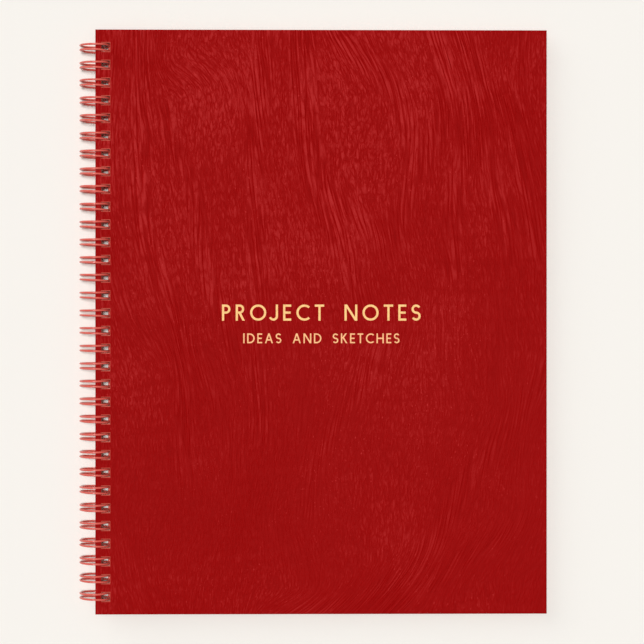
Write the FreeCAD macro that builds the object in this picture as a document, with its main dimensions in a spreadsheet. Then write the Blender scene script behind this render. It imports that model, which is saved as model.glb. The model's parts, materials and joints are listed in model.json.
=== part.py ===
import FreeCAD, Part
import math
import os
import Sketcher

# Wire-bound notebook with leather-covered boards, closed and lying on its back cover.
# Millimetres and degrees. X runs from the spine to the fore-edge, Y along the spine to the
# head, Z up. Every leaf is drawn about the axis of the wire loops, with its thickness along Z,
# and its Placement then leans it about that axis and moves it to the axis.

vec = FreeCAD.Vector
doc = FreeCAD.newDocument("wire_bound_notebook")

# ---------------------------------------------------------------- driving sizes
driving_sizes = {
    "cover_width": 215.9,
    "cover_height": 279.4,
    "spine_offset": 0.66,        # from the loop axis to the spine edge of every leaf
    "leather_thickness": 0.40,
    "board_thickness": 0.88,
    "endpaper_thickness": 0.12,
    "turn_in_width": 14.0,
    "turn_in_gap": 0.2,          # between a turn-in and the filler sheet it frames
    "mitre_gap": 0.15,
    "cover_edge_radius": 0.6,
    "inner_edge_radius": 0.3,
    "endpaper_margin": 4.0,
    "endpaper_spine_margin": 1.5,
    "cover_inner_height": 3.40,  # from the loop axis to a cover's inner face
    "sheet_thickness": 0.090,
    "sheet_pitch": 0.093,
    "sheet_overhang": 2.5,       # how far the covers stand past the sheets on three sides
    "top_sheet_height": 3.35,    # from the loop axis to the top of the first sheet
    "hole_width": 4.1,
    "hole_height": 4.2,
    "hole_setback": 4.9,         # from the spine edge to the middle of a hole
    "loop_pitch": 8.467,
    "loop_radius": 6.9,          # to the middle of the wire
    "wire_diameter": 1.0,
    "leg_spacing": 2.5,          # between the two legs of one loop
    "elbow_radius": 0.9,
    "seam_height": -2.90,        # of the straight bars between two loops
    "loop_end_angle": -1.4,      # where a loop's legs turn into its closed tip
    "foil_thickness": 0.03,
    "cover_lean": 0.584,         # sets the back cover's fore-edge down level with the loops
    "sheet_lean": 0.865,         # lays the sheets down on the back cover's fore-edge
    "axis_x": -104.60,           # of the loop axis, from the middle of the notebook
    "axis_z": 7.40,
}
loop_count = 32
sheet_count = 60
sheets_per_node = 5

sizes = doc.addObject("Spreadsheet::Sheet", "Sizes")
sizes.Label = "Sizes"
for row, (alias, value) in enumerate(driving_sizes.items(), start=1):
    sizes.set(f"A{row}", alias.replace("_", " "))
    sizes.set(f"B{row}", str(value))
    sizes.setAlias(f"B{row}", alias)
doc.recompute()

cover_lean = "Sizes.cover_lean"
sheet_lean = "Sizes.sheet_lean"
cover_thickness = "(2 * Sizes.leather_thickness + Sizes.board_thickness + Sizes.endpaper_thickness)"
outer_face = f"(Sizes.cover_inner_height + {cover_thickness})"
turn_in_face = "(Sizes.cover_inner_height + Sizes.endpaper_thickness)"
board_face = f"({turn_in_face} + Sizes.leather_thickness)"
first_hole_y = f"({(loop_count - 1) / 2} * Sizes.loop_pitch)"


# ---------------------------------------------------------------- sketches and features
def origin_part(body, role):
    return next(item for item in body.Origin.OriginFeatures if item.Role == role)


def sketch_on(body, name, height):
    """An empty sketch parallel to the body's XY plane, at a height given as an expression."""
    sketch = body.newObject("Sketcher::SketchObject", name)
    sketch.AttachmentSupport = [(origin_part(body, "XY_Plane"), "")]
    sketch.MapMode = "FlatFace"
    sketch.setExpression("AttachmentOffset.Base.z", height)
    return sketch


def add_rectangle(sketch, west, east, north, south=None):
    """Four lines held by the expressions of their sides; south is -north where left out."""
    first = sketch.GeometryCount
    corners = [vec(1, -1), vec(2, -1), vec(2, 1), vec(1, 1)]
    for start, end in zip(corners, corners[1:] + corners[:1]):
        sketch.addGeometry(Part.LineSegment(start, end))
    bottom, right, top, left = range(first, first + 4)
    for line, following in ((bottom, right), (right, top), (top, left), (left, bottom)):
        sketch.addConstraint(Sketcher.Constraint("Coincident", line, 2, following, 1))
    for line in (bottom, top):
        sketch.addConstraint(Sketcher.Constraint("Horizontal", line))
    for line in (left, right):
        sketch.addConstraint(Sketcher.Constraint("Vertical", line))
    distances = [
        ("DistanceX", bottom, 1, 1.0, west),
        ("DistanceX", bottom, 2, 2.0, east),
        ("DistanceY", top, 1, 1.0, north),
        ("DistanceY", bottom, 1, -1.0, south if south else f"-({north})"),
    ]
    for kind, line, end, start_value, expression in distances:
        index = sketch.addConstraint(Sketcher.Constraint(kind, -1, 1, line, end, start_value))
        sketch.setExpression(f"Constraints[{index}]", expression)


def add_leaf_outline(sketch, inset="0"):
    """A cover's outline, moved in by an inset on all four sides."""
    west = f"Sizes.spine_offset + {inset}"
    east = f"Sizes.spine_offset + Sizes.cover_width - {inset}"
    add_rectangle(sketch, west, east, f"Sizes.cover_height / 2 - {inset}")


def add_pad(body, sketch, thickness, side=1):
    """Pads away from the loop axis: up for the front cover, down (side -1) for the back."""
    pad = body.newObject("PartDesign::Pad", f"{sketch.Name}_pad")
    pad.Profile = sketch
    pad.setExpression("Length", thickness)
    pad.Reversed = side < 0
    body.Tip = pad
    return pad


def add_pocket(body, sketch, depth, side=1):
    """Cuts away from the loop axis, as add_pad builds."""
    pocket = body.newObject("PartDesign::Pocket", f"{sketch.Name}_pocket")
    pocket.Profile = sketch
    pocket.setExpression("Length", depth)
    pocket.Reversed = side > 0
    body.Tip = pocket
    return pocket


def punch_hole_row(body):
    """One square hole through everything at the head end, repeated along the spine."""
    hole = sketch_on(body, f"{body.Name}_hole", "0")
    middle = "Sizes.spine_offset + Sizes.hole_setback"
    add_rectangle(
        hole,
        f"{middle} - Sizes.hole_width / 2",
        f"{middle} + Sizes.hole_width / 2",
        f"{first_hole_y} + Sizes.hole_height / 2",
        f"{first_hole_y} - Sizes.hole_height / 2",
    )
    pocket = body.newObject("PartDesign::Pocket", f"{body.Name}_hole_pocket")
    pocket.Profile = hole
    pocket.Type = "ThroughAll"
    pocket.Midplane = True
    body.Tip = pocket
    holes = body.newObject("PartDesign::LinearPattern", f"{body.Name}_hole_row")
    holes.Originals = [pocket]
    holes.Direction = (origin_part(body, "Y_Axis"), [""])
    holes.Reversed = True
    holes.Mode = "Spacing"
    holes.Occurrences = loop_count
    holes.setExpression("Offset", "Sizes.loop_pitch")
    body.Tip = holes


def place_on_axis(thing, lean):
    """Leans a leaf about the loop axis and moves it there."""
    move = "vector(Sizes.axis_x; 0; Sizes.axis_z)"
    thing.setExpression("Placement", f"placement({move}; rotation(vector(0; 1; 0); {lean}))")


def new_body(name, label):
    body = doc.addObject("PartDesign::Body", name)
    body.Label = label
    return body


# ---------------------------------------------------------------- covers
def side_height(height, side):
    return height if side > 0 else f"-{height}"


def edges_where(shape, test):
    return [f"Edge{n}" for n, edge in enumerate(shape.Edges, start=1) if test(edge.BoundBox)]


def round_edges(body, radius, test):
    doc.recompute()
    unrounded = body.Tip
    fillet = body.newObject("PartDesign::Fillet", f"{body.Name}_{radius}")
    fillet.Base = (unrounded, edges_where(unrounded.Shape, test))
    fillet.setExpression("Radius", f"Sizes.{radius}")
    body.Tip = fillet


def add_mitre_slits(sketch):
    """Four thin slits along the corner diagonals, where two turn-ins meet."""
    spine = driving_sizes["spine_offset"]
    width = driving_sizes["turn_in_width"]
    half_height = driving_sizes["cover_height"] / 2
    half_gap = driving_sizes["mitre_gap"] / 2 * math.sqrt(2)
    corner_margin = 1.2
    for edge_x, inward_x in ((spine, 1), (spine + driving_sizes["cover_width"], -1)):
        for side_y in (1, -1):
            outer_x = edge_x + inward_x * corner_margin
            inner_x = edge_x + inward_x * (width + half_gap)
            outer_y = side_y * (half_height - corner_margin)
            inner_y = side_y * (half_height - width - half_gap)
            corners = [
                vec(outer_x - inward_x * half_gap, outer_y),
                vec(outer_x + inward_x * half_gap, outer_y),
                vec(inner_x + inward_x * half_gap, inner_y),
                vec(inner_x - inward_x * half_gap, inner_y),
            ]
            for start, end in zip(corners, corners[1:] + corners[:1]):
                sketch.addGeometry(Part.LineSegment(start, end))


def make_leather(prefix, side, lean):
    """The leather of one cover: outer face, wrapped edges and four turn-ins."""
    body = new_body(f"{prefix}_leather", f"{prefix} leather")
    inner_height = side_height(turn_in_face, side)

    outline = sketch_on(body, f"{prefix}_leather_outline", inner_height)
    add_leaf_outline(outline)
    add_pad(body, outline, f"{outer_face} - {turn_in_face}", side)

    recess = sketch_on(body, f"{prefix}_board_recess", inner_height)
    add_leaf_outline(recess, "Sizes.leather_thickness")
    add_pocket(body, recess, "Sizes.leather_thickness + Sizes.board_thickness", side)

    turn_in = sketch_on(body, f"{prefix}_turn_in", inner_height)
    add_leaf_outline(turn_in, "Sizes.leather_thickness / 2")
    add_leaf_outline(turn_in, "Sizes.turn_in_width")
    add_pad(body, turn_in, "Sizes.leather_thickness", side)

    mitre = sketch_on(body, f"{prefix}_mitre", inner_height)
    add_mitre_slits(mitre)
    add_pocket(body, mitre, "Sizes.leather_thickness", side)

    west = driving_sizes["spine_offset"]
    east = west + driving_sizes["cover_width"]
    north = driving_sizes["cover_height"] / 2
    outer_z = side * (driving_sizes["cover_inner_height"] + driving_sizes["endpaper_thickness"]
                      + 2 * driving_sizes["leather_thickness"] + driving_sizes["board_thickness"])
    inner_z = side * (driving_sizes["cover_inner_height"] + driving_sizes["endpaper_thickness"])

    def near(value, target):
        return abs(value - target) < 0.01

    def on_outline(box):
        on_x = near(box.XMin, box.XMax) and (near(box.XMin, west) or near(box.XMin, east))
        on_y = near(box.YMin, box.YMax) and near(abs(box.YMin), north)
        return on_x or on_y

    def outer_or_corner(box):
        flat_outer = near(box.ZMin, outer_z) and near(box.ZMax, outer_z)
        upright_corner = (
            (near(box.XMin, west) or near(box.XMin, east))
            and near(box.XMin, box.XMax)
            and near(abs(box.YMin), north)
            and near(box.YMin, box.YMax)
        )
        return (flat_outer and on_outline(box)) or upright_corner

    def inner_rim(box):
        at_rim = (
            box.XMin < west + 0.01
            or box.XMax > east - 0.01
            or box.YMax > north - 0.01
            or box.YMin < -north + 0.01
        )
        return near(box.ZMin, inner_z) and near(box.ZMax, inner_z) and at_rim

    round_edges(body, "cover_edge_radius", outer_or_corner)
    round_edges(body, "inner_edge_radius", inner_rim)
    punch_hole_row(body)
    place_on_axis(body, lean)
    return body


def make_flat_layer(name, label, side, lean, inset, height, thickness):
    """A flat sheet of a cover, as large as the cover less an inset on all sides."""
    body = new_body(name, label)
    outline = sketch_on(body, f"{name}_outline", side_height(height, side))
    add_leaf_outline(outline, inset)
    add_pad(body, outline, thickness, side)
    place_on_axis(body, lean)
    return body


def make_endpaper(prefix, side, lean):
    body = new_body(f"{prefix}_endpaper", f"{prefix} endpaper")
    outline = sketch_on(
        body, f"{prefix}_endpaper_outline", side_height("Sizes.cover_inner_height", side)
    )
    add_rectangle(
        outline,
        "Sizes.spine_offset + Sizes.endpaper_spine_margin",
        "Sizes.spine_offset + Sizes.cover_width - Sizes.endpaper_margin",
        "Sizes.cover_height / 2 - Sizes.endpaper_margin",
    )
    add_pad(body, outline, "Sizes.endpaper_thickness", side)
    punch_hole_row(body)
    place_on_axis(body, lean)
    return body


def make_cover(prefix, side, lean):
    """Leather, board, filler sheet and endpaper of one cover."""
    leather = make_leather(prefix, side, lean)
    board = make_flat_layer(
        f"{prefix}_board", f"{prefix} board", side, lean,
        "Sizes.leather_thickness", board_face, "Sizes.board_thickness",
    )
    punch_hole_row(board)
    filler = make_flat_layer(
        f"{prefix}_filler", f"{prefix} filler sheet", side, lean,
        "(Sizes.turn_in_width + Sizes.turn_in_gap)", turn_in_face, "Sizes.leather_thickness",
    )
    return [leather, board, filler, make_endpaper(prefix, side, lean)]


# ---------------------------------------------------------------- sheets
def make_sheets(first_number):
    """Five separate sheets, counted from the front of the notebook."""
    last_number = first_number + sheets_per_node - 1
    name = f"sheets_{first_number:02d}_{last_number:02d}"
    body = new_body(name, f"sheets {first_number} to {last_number}")
    lowest = f"(Sizes.top_sheet_height - {last_number - 1} * Sizes.sheet_pitch"
    outline = sketch_on(body, f"{name}_outline", f"{lowest} - Sizes.sheet_thickness)")
    add_rectangle(
        outline,
        "Sizes.spine_offset",
        "Sizes.spine_offset + Sizes.cover_width - Sizes.sheet_overhang",
        "Sizes.cover_height / 2 - Sizes.sheet_overhang",
    )
    sheet = add_pad(body, outline, "Sizes.sheet_thickness")
    stack = body.newObject("PartDesign::LinearPattern", f"{name}_stack")
    stack.Originals = [sheet]
    stack.Direction = (origin_part(body, "Z_Axis"), [""])
    stack.Mode = "Spacing"
    stack.Occurrences = sheets_per_node
    stack.setExpression("Offset", "Sizes.sheet_pitch")
    body.Tip = stack
    punch_hole_row(body)
    place_on_axis(body, sheet_lean)
    return body


# ---------------------------------------------------------------- wire binding
def loop_point(angle, y):
    """A point on a loop's centre line; the angle turns from the fore-edge side upwards."""
    radius = driving_sizes["loop_radius"]
    turn = math.radians(angle)
    return vec(radius * math.cos(turn), y, radius * math.sin(turn))


def loop_direction(angle):
    """The unit tangent of a loop, the way the angle grows."""
    turn = math.radians(angle)
    return vec(-math.sin(turn), 0, math.cos(turn))


def loop_arc(start_angle, end_angle, y):
    middle = (start_angle + end_angle) / 2
    points = [loop_point(angle, y) for angle in (start_angle, middle, end_angle)]
    return Part.Arc(*points).toShape()


def quarter_turn(start, along, across, radius):
    """A quarter circle that leaves start along one direction and ends along the other."""
    slant = math.sqrt(0.5)
    middle = start + along * (radius * slant) + across * (radius * (1 - slant))
    end = start + (along + across) * radius
    return Part.Arc(start, middle, end).toShape(), end


def seam_angle():
    """Where a leg ends so that its elbow brings the bar to the seam height."""
    radius = driving_sizes["loop_radius"]
    elbow = driving_sizes["elbow_radius"]
    reach = math.hypot(radius, elbow)
    whole = math.asin(driving_sizes["seam_height"] / reach)
    return math.degrees(whole - math.atan2(elbow, radius))


def wire_path():
    """The centre line of the whole binding: every loop is two legs and a closed tip, and
    a straight bar leads from each loop to the next."""
    start_angle = seam_angle()
    end_angle = driving_sizes["loop_end_angle"] - 360
    half_spacing = driving_sizes["leg_spacing"] / 2
    elbow = driving_sizes["elbow_radius"]
    foot = vec(0, -1, 0)
    head = vec(0, 1, 0)
    rising = loop_direction(start_angle)
    tip_direction = loop_direction(end_angle) * -1
    edges = []
    bar_start = None
    for number in range(loop_count):
        middle_y = ((loop_count - 1) / 2 - number) * driving_sizes["loop_pitch"]
        head_y = middle_y + half_spacing
        foot_y = middle_y - half_spacing
        leg_foot = loop_point(start_angle, head_y)
        if bar_start is not None:
            bar_end = leg_foot + rising * elbow + head * elbow
            edges.append(Part.LineSegment(bar_start, bar_end).toShape())
            edges.append(quarter_turn(bar_end, foot, rising * -1, elbow)[0])
        edges.append(loop_arc(start_angle, end_angle, head_y))
        tip_start = loop_point(end_angle, head_y)
        half_arc, tip_middle = quarter_turn(tip_start, tip_direction, foot, half_spacing)
        edges.append(half_arc)
        edges.append(quarter_turn(tip_middle, foot, tip_direction * -1, half_spacing)[0])
        edges.append(loop_arc(end_angle, start_angle, foot_y))
        if number < loop_count - 1:
            leg_end = loop_point(start_angle, foot_y)
            elbow_arc, bar_start = quarter_turn(leg_end, rising, foot, elbow)
            edges.append(elbow_arc)
    return Part.Wire(edges)


def make_wire():
    path = doc.addObject("Part::Feature", "wire_path")
    path.Label = "wire centre line"
    path.Shape = wire_path()

    section = doc.addObject("Part::Circle", "wire_section")
    section.Label = "wire section"
    section.setExpression("Radius", "Sizes.wire_diameter / 2")
    first_edge = path.Shape.Edges[0]
    normal = first_edge.tangentAt(first_edge.FirstParameter)
    start = first_edge.valueAt(first_edge.FirstParameter)
    section.Placement = FreeCAD.Placement(start, FreeCAD.Rotation(vec(0, 0, 1), normal))

    sweep = doc.addObject("Part::Sweep", "wire_binding")
    sweep.Label = "wire binding"
    sweep.Sections = [section]
    sweep.Spine = (path, [f"Edge{n}" for n in range(1, len(path.Shape.Edges) + 1)])
    sweep.Solid = True
    sweep.Frenet = False
    sweep.setExpression("Placement.Base.x", "Sizes.axis_x")
    sweep.setExpression("Placement.Base.z", "Sizes.axis_z")
    return sweep


# ---------------------------------------------------------------- foil lettering
# Letters are drawn for a cap height of 1, from strokes whose middle lines are given.
stroke = 0.135
bowl = (1 - stroke) / 4
low_bowl_y = stroke / 2 + bowl
high_bowl_y = 1 - low_bowl_y
big_bowl = (1 - stroke) / 2


def bar(x0, y0, x1, y1):
    """An upright or level rectangle between two corners."""
    points = [vec(x0, y0), vec(x1, y0), vec(x1, y1), vec(x0, y1)]
    return Part.Face(Part.makePolygon(points + points[:1]))


def slanted(x0, y0, x1, y1):
    """A slanted stroke with level ends; x0 and x1 are the middles of its ends."""
    half = stroke / 2 * math.hypot(x1 - x0, y1 - y0) / abs(y1 - y0)
    points = [vec(x0 - half, y0), vec(x0 + half, y0), vec(x1 + half, y1), vec(x1 - half, y1)]
    return Part.Face(Part.makePolygon(points + points[:1]))


def bow(x, y, radius, start, end):
    """Part of a ring about (x, y), from one angle to another."""
    def at(distance, angle):
        turn = math.radians(angle)
        return vec(x + distance * math.cos(turn), y + distance * math.sin(turn))

    inner = radius - stroke / 2
    outer = radius + stroke / 2
    middle = (start + end) / 2
    outer_arc = Part.Arc(at(outer, start), at(outer, middle), at(outer, end)).toShape()
    inner_arc = Part.Arc(at(inner, end), at(inner, middle), at(inner, start)).toShape()
    end_line = Part.LineSegment(at(outer, end), at(inner, end)).toShape()
    start_line = Part.LineSegment(at(inner, start), at(outer, start)).toShape()
    return Part.Face(Part.Wire([outer_arc, end_line, inner_arc, start_line]))


def letter_strokes(letter):
    """The letter's faces and its width, for a cap height of 1."""
    upright = bar(0, 0, stroke, 1)
    if letter == "A":
        faces = [slanted(0.08, 0, 0.42, 1), slanted(0.76, 0, 0.42, 1),
                 bar(0.19, 0.27, 0.65, 0.27 + stroke)]
        return faces, 0.84
    if letter == "C":
        return [bow(0.5, 0.5, big_bowl, 48, 312)], 0.82
    if letter == "D":
        faces = [upright, bow(0.26, 0.5, big_bowl, -90, 90),
                 bar(0, 0, 0.26, stroke), bar(0, 1 - stroke, 0.26, 1)]
        return faces, 0.76
    if letter == "E":
        faces = [upright, bar(0, 0, 0.5, stroke), bar(0, 1 - stroke, 0.5, 1),
                 bar(0, 0.5 - stroke / 2, 0.46, 0.5 + stroke / 2)]
        return faces, 0.5
    if letter == "H":
        faces = [upright, bar(0.6, 0, 0.6 + stroke, 1),
                 bar(0, 0.5 - stroke / 2, 0.7, 0.5 + stroke / 2)]
        return faces, 0.6 + stroke
    if letter == "I":
        return [upright], stroke
    if letter == "J":
        hook_x = 0.34 - bowl
        faces = [bar(0.34 - stroke / 2, low_bowl_y, 0.34 + stroke / 2, 1),
                 bow(hook_x, low_bowl_y, bowl, -160, 0)]
        return faces, 0.34 + stroke / 2
    if letter == "K":
        faces = [upright, slanted(0.15, 0.48, 0.52, 1), slanted(0.24, 0.56, 0.58, 0)]
        return faces, 0.66
    if letter == "N":
        faces = [upright, bar(0.66, 0, 0.66 + stroke, 1), slanted(0.08, 1, 0.715, 0)]
        return faces, 0.66 + stroke
    if letter == "O":
        return [bow(0.5, 0.5, big_bowl, 0, 180), bow(0.5, 0.5, big_bowl, 180, 360)], 1.0
    if letter == "S":
        faces = [bow(0.285, high_bowl_y, bowl, 28, 270), bow(0.285, low_bowl_y, bowl, -152, 90)]
        return faces, 0.57
    if letter == "T":
        faces = [bar(0, 1 - stroke, 0.58, 1), bar(0.29 - stroke / 2, 0, 0.29 + stroke / 2, 1)]
        return faces, 0.58
    # P and R share their upright and upper bowl.
    faces = [upright, bow(0.24, high_bowl_y, bowl, -90, 90), bar(0, 1 - stroke, 0.24, 1),
             bar(0, 0.5 - stroke / 2, 0.24, 0.5 + stroke / 2)]
    if letter == "R":
        faces.append(slanted(0.24, 0.5, 0.49, 0))
        return faces, 0.57
    return faces, 0.53


def make_foil_line(name, label, text, cap_height, width, middle_y):
    """One line of foil capitals, spread to a width and centred on the cover."""
    word_space = 0.62
    thickness = driving_sizes["foil_thickness"]
    middle_x = driving_sizes["spine_offset"] + driving_sizes["cover_width"] / 2
    top = (driving_sizes["cover_inner_height"] + driving_sizes["endpaper_thickness"]
           + 2 * driving_sizes["leather_thickness"] + driving_sizes["board_thickness"])
    drawn = [letter_strokes(letter) if letter != " " else ([], word_space) for letter in text]
    gap = (width / cap_height - sum(advance for _, advance in drawn)) / (len(text) - 1)
    start = 0.0
    letters = []
    for faces, advance in drawn:
        strokes = []
        for face in faces:
            face.scale(cap_height)
            strokes.append(face.extrude(vec(0, 0, thickness)))
        if strokes:
            letter = strokes[0].multiFuse(strokes[1:]).removeSplitter() if strokes[1:] else strokes[0]
            left = middle_x - width / 2 + start * cap_height
            letter.translate(vec(left, middle_y - cap_height / 2, top))
            letters += letter.Solids
        start += advance + gap
    foil = doc.addObject("Part::Feature", name)
    foil.Label = label
    foil.Shape = Part.makeCompound(letters)
    place_on_axis(foil, sheet_lean)
    return foil


# ---------------------------------------------------------------- assembly
nodes = [make_wire()]
nodes += make_cover("front_cover", 1, sheet_lean)
nodes += make_cover("back_cover", -1, cover_lean)
nodes += [make_sheets(number) for number in range(1, sheet_count + 1, sheets_per_node)]
nodes.append(make_foil_line("title_foil", "title foil", "PROJECT NOTES", 7.7, 95.0, 4.5))
nodes.append(
    make_foil_line("subtitle_foil", "subtitle foil", "IDEAS AND SKETCHES", 4.7, 74.7, -7.8)
)
doc.recompute()

# ---------------------------------------------------------------- checks and export
for item in doc.Objects:
    if "Invalid" in item.State or "Error" in item.State:
        raise RuntimeError(f"{item.Label} failed to build: {item.State}")

wire = doc.getObject("wire_binding")
wire_length = doc.getObject("wire_path").Shape.Length
wire_section_area = math.pi / 4 * driving_sizes["wire_diameter"] ** 2
if abs(wire.Shape.Volume / (wire_length * wire_section_area) - 1) > 0.005:
    raise RuntimeError("the wire's volume does not match its length and section")

whole = FreeCAD.BoundBox()
for node in nodes:
    whole.add(node.Shape.optimalBoundingBox(False, False))
if abs(whole.ZMin) > 0.01 or abs(whole.Center.x) > 0.05 or abs(whole.Center.y) > 0.05:
    raise RuntimeError(f"the notebook does not stand on the origin: {whole}")

os.makedirs("parts", exist_ok=True)
for node in nodes:
    shape = node.Shape
    if shape.isNull() or not shape.isValid():
        raise RuntimeError(f"{node.Label} has no valid shape")
    shape.exportStep(f"parts/{node.Name}.step")
    print(f"{node.Name}: {len(shape.Solids)} solids, {shape.Volume:.1f} mm3")
print(f"wire length {wire_length:.1f} mm, bounds {whole}")
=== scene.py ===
import json
import math

import bmesh
import bpy
import numpy as np
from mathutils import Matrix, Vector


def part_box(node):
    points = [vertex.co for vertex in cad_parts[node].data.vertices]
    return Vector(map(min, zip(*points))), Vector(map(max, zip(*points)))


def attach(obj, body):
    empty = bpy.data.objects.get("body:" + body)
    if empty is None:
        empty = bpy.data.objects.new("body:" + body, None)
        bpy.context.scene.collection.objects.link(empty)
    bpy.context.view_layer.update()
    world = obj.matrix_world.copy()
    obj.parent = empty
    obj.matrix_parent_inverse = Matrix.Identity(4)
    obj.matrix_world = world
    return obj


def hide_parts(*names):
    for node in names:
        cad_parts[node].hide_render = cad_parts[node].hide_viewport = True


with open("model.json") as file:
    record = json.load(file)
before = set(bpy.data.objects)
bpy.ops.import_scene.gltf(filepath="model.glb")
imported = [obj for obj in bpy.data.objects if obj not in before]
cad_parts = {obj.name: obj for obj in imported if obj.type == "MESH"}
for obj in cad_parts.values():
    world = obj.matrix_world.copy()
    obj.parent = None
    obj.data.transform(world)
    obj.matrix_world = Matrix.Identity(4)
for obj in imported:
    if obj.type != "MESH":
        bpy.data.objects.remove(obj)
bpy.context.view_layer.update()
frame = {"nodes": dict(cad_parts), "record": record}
axisPoint = np.array(frame["record"]["behaviour"]["joints"][0]["pos_m"])
print("frame loaded,", len(frame["nodes"]), "nodes")

# All leaves share these, in mm, counted from the middle line of the wire loops.
leaf = {
    "spineEdge": 0.66,
    "coverWidth": 215.9,
    "coverHeight": 279.4,
    "sheetLean": math.radians(0.865),
    "coverLean": math.radians(0.584),
    "holeCount": 32,
    "holePitch": 8.467,
    "holeWidth": 4.1,
    "holeHeight": 4.2,
    "holeSetBack": 4.9,      # from the spine edge to a hole's middle
}
leaf["holeMiddleX"] = leaf["spineEdge"] + leaf["holeSetBack"]
holeMiddleY = (np.arange(leaf["holeCount"]) - (leaf["holeCount"] - 1) / 2) * leaf["holePitch"]


# A leaf is drawn flat, turned about Y by its lean and moved to the loop axis: mm in, metres out.
def leafToRow(points, lean):
    c, s = math.cos(lean), math.sin(lean)
    x = points[:, 0] * c + points[:, 2] * s
    z = points[:, 2] * c - points[:, 0] * s
    return np.stack([x, points[:, 1], z], axis=1) * 0.001 + axisPoint


# One mesh object at the origin; each attribute holds a number or three for every point.
def meshObject(name, points, faces, smoothAngle=None, attributes=None):
    mesh = bpy.data.meshes.new(name)
    mesh.from_pydata(points.tolist(), [], faces)
    for key, values in (attributes or {}).items():
        kind = "FLOAT_VECTOR" if values.ndim == 2 else "FLOAT"
        layer = mesh.attributes.new(key, kind, "POINT")
        layer.data.foreach_set("vector" if values.ndim == 2 else "value", values.astype(np.float32).ravel())
    mesh.update()
    if smoothAngle is not None:
        mesh.shade_smooth()
        mesh.set_sharp_from_angle(angle=math.radians(smoothAngle))
    item = bpy.data.objects.new(name, mesh)
    bpy.context.scene.collection.objects.link(item)
    return item


# Turns every face of a closed mesh to face out.
def turnOutward(item):
    work = bmesh.new()
    work.from_mesh(item.data)
    bmesh.ops.recalc_face_normals(work, faces=work.faces)
    work.to_mesh(item.data)
    work.free()


# Random slopes on a whole-number grid, eased between its corners: soft noise of about -1 to 1.
# The table of slopes repeats every 64 squares.
def slopeNoise(x, y, seed):
    size = 64
    turn = np.random.default_rng(seed).uniform(0, 2 * np.pi, (size, size))
    slopeX, slopeY = np.cos(turn), np.sin(turn)
    col, row = np.floor(x).astype(int), np.floor(y).astype(int)
    u, v = x - col, y - row

    def corner(right, up):
        r, c = (row + up) % size, (col + right) % size
        return slopeX[r, c] * (u - right) + slopeY[r, c] * (v - up)

    easeU = u * u * u * (u * (u * 6 - 15) + 10)
    easeV = v * v * v * (v * (v * 6 - 15) + 10)
    low = corner(0, 0) * (1 - easeU) + corner(1, 0) * easeU
    high = corner(0, 1) * (1 - easeU) + corner(1, 1) * easeU
    return (low * (1 - easeV) + high * easeV) * 1.5


# 0 up to start and 1 from end, eased between them by three squares less two cubes.
def fade(value, start, end):
    t = np.clip((value - start) / (end - start), 0, 1)
    return t * t * (3 - 2 * t)


# ---- leather relief
# Bundles of creases as they run from head to foot: strength, then points in mm from the spine
# edge and from the foot.
creaseBundles = (
    (0.9, ((22, 285), (22, 240), (21, 200), (24, 180), (31, 160), (39, 141), (42, 122), (42, 100), (43, 62))),
    (0.5, ((10, 285), (9, 245), (10, 214), (19, 183), (28, 161), (37, 139))),
    (0.5, ((4, 166), (14, 146), (24, 134), (36, 124))),
    (0.7, ((33, 241), (40, 218), (47, 202), (50, 182), (54, 162), (60, 144), (67, 124))),
    (0.8, ((81, 285), (80, 262), (77, 242), (76, 220), (77, 190), (78, 160), (78, 120), (80, 82))),
    (0.3, ((36, 258), (46, 260), (57, 259), (66, 251), (73, 240), (76, 226))),
    (1.0, ((97, 285), (98, 255), (99, 234), (103, 212), (110, 192), (117, 176), (123, 161), (130, 144))),
    (0.7, ((102, 285), (102, 246), (105, 220), (113, 201), (124, 190), (138, 177))),
    (0.8, ((108, 285), (119, 273), (130, 264), (140, 254), (146, 244), (151, 228), (152, 208))),
    (0.9, ((162, 285), (167, 262), (168, 247), (165, 234), (157, 216), (149, 200), (144, 188), (139, 174))),
    (0.9, ((172, 285), (180, 263), (183, 246), (186, 226), (190, 206), (196, 190), (200, 170))),
    (0.8, ((176, 275), (184, 256), (193, 244), (199, 234), (204, 212), (209, 190), (212, 172))),
    (0.5, ((207, 285), (204, 262), (203, 240), (207, 224), (213, 210))),
    (0.8, ((177, 244), (176, 224), (173, 205), (171, 184), (171, 162))),
    (0.5, ((42, 124), (50, 113), (58, 101), (64, 86), (69, 68))),
    (0.4, ((47, 127), (58, 117), (70, 104), (77, 88))),
    (0.4, ((92, 130), (97, 112), (99, 95), (103, 74))),
    (0.7, ((144, 134), (134, 122), (127, 111), (120, 99), (112, 86), (105, 70), (101, 46))),
    (0.4, ((164, 140), (166, 122), (171, 104))),
    (0.4, ((193, 150), (192, 120), (193, 102))),
    (1.0, ((219, 122), (207, 103), (198, 90), (188, 78), (178, 63), (170, 50), (163, 37), (154, 24),
           (142, 15), (127, 6), (108, 1), (84, -3))),
    (0.8, ((204, 44), (190, 35), (176, 27), (164, 18), (152, 9), (138, 1))),
    (0.4, ((205, 98), (205, 80), (203, 58), (201, 30))),
    (0.4, ((7, 48), (13, 33), (19, 18), (27, 2))),
    (0.4, ((82, 44), (92, 32), (100, 23), (107, 11))),
)
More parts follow.
